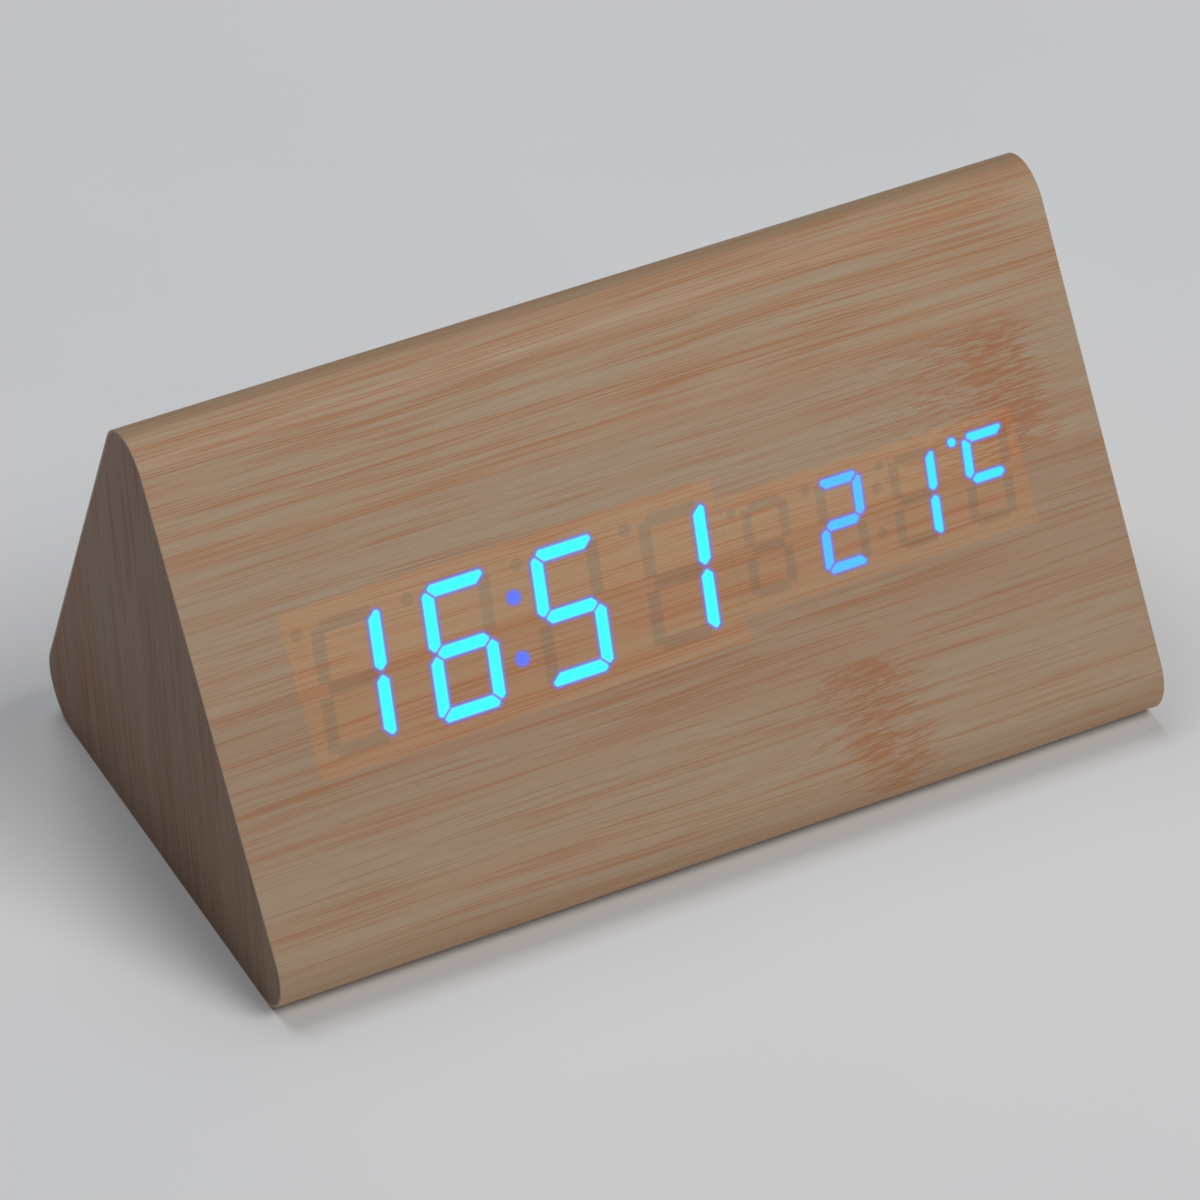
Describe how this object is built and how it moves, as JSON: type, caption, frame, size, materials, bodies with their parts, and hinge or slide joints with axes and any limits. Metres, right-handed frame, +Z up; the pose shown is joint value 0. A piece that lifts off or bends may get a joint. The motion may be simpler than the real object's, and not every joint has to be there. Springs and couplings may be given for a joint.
{
  "type": "alarm clock",
  "caption": "Rounded triangular-prism table alarm clock in wood-grain film; lit time and temperature digits shine through its sloping front, keys and a power socket behind.",
  "frame": {"origin": "middle of the base, on the surface that the clock stands on", "axes": "+X along the case, to the right seen from the display side; -Y towards the display side; +Z up"},
  "size_m": [0.15, 0.0896, 0.0796],
  "materials": {
    "bamboo_film": "printed bamboo-strip film, satin",
    "end_film": "printed wood-grain film, satin",
    "fibreboard": "sawn fibreboard",
    "display_block": "moulded black reflector block",
    "lit_time": "glowing blue-white epoxy",
    "lit_temperature": "glowing blue epoxy",
    "unlit_bars": "milky epoxy, unlit",
    "tinned_metal": "tinned",
    "circuit_board": "green solder mask",
    "screw_steel": "zinc plated",
    "screw_black": "black zinc",
    "chip_black": "moulded epoxy",
    "black_plastic": "fine spark texture",
    "key_plastic": "smooth satin",
    "white_plastic": "natural nylon",
    "cable_grey": "ribbed vinyl",
    "cell_metal": "bare metal can",
    "cell_jacket": "plain sleeved can",
    "contact_brass": "bright",
    "sensor_epoxy": "dipped bead",
    "lead_red": "vinyl insulation"
  },
  "bodies": {
    "case": {"case_core": "fibreboard", "wrap_film": "bamboo_film", "base_film": "bamboo_film", "left_end_panel": "fibreboard", "right_end_panel": "fibreboard", "left_end_film": "end_film", "right_end_film": "end_film", "time_display_block": "display_block", "temperature_display_block": "display_block", "time_lit_bars": "lit_time", "time_unlit_bars": "unlit_bars", "temperature_lit_bars": "lit_temperature", "temperature_unlit_bars": "unlit_bars", "display_pins": "tinned_metal", "display_board": "circuit_board", "display_board_screws": "screw_steel", "controller_chip": "chip_black", "clock_crystal": "tinned_metal", "backup_cell_holder": "black_plastic", "backup_cell": "cell_metal", "cable_connectors": "white_plastic", "flat_cable": "cable_grey", "control_panel": "black_plastic", "control_panel_screws": "screw_black", "key_switches": "chip_black", "control_board": "circuit_board", "control_board_screws": "screw_steel", "power_jack": "black_plastic", "power_jack_pin": "contact_brass", "temperature_sensor": "sensor_epoxy", "buzzer": "chip_black", "microphone": "cell_metal", "battery_tray": "black_plastic", "tray_screws": "screw_black", "battery_cells": "cell_jacket", "contact_plates": "tinned_metal", "contact_springs": "tinned_metal", "battery_leads": "lead_red"},
    "set_key_body": {"set_key": "key_plastic", "set_key_plunger": "white_plastic"},
    "up_key_body": {"up_key": "key_plastic", "up_key_plunger": "white_plastic"},
    "down_key_body": {"down_key": "key_plastic", "down_key_plunger": "white_plastic"},
    "door_body": {"battery_door": "black_plastic"}
  },
  "joints": [
    {"name": "set_key_press", "type": "slide", "parent": "case", "child": "set_key_body", "axis": [0, -0.8659, -0.5002], "range_m": [0, 0.0004], "stiffness_N_per_m": 2000, "springref_m": -0.0002},
    {"name": "up_key_press", "type": "slide", "parent": "case", "child": "up_key_body", "axis": [0, -0.8659, -0.5002], "range_m": [0, 0.0004], "stiffness_N_per_m": 2000, "springref_m": -0.0002},
    {"name": "down_key_press", "type": "slide", "parent": "case", "child": "down_key_body", "axis": [0, -0.8659, -0.5002], "range_m": [0, 0.0004], "stiffness_N_per_m": 2000, "springref_m": -0.0002},
    {"name": "battery_door_hinge", "type": "hinge", "parent": "case", "child": "door_body", "pos_m": [-0.02425, 0, 0.0016], "axis": [0, 1, 0], "range_deg": [0, 100]}
  ]
}
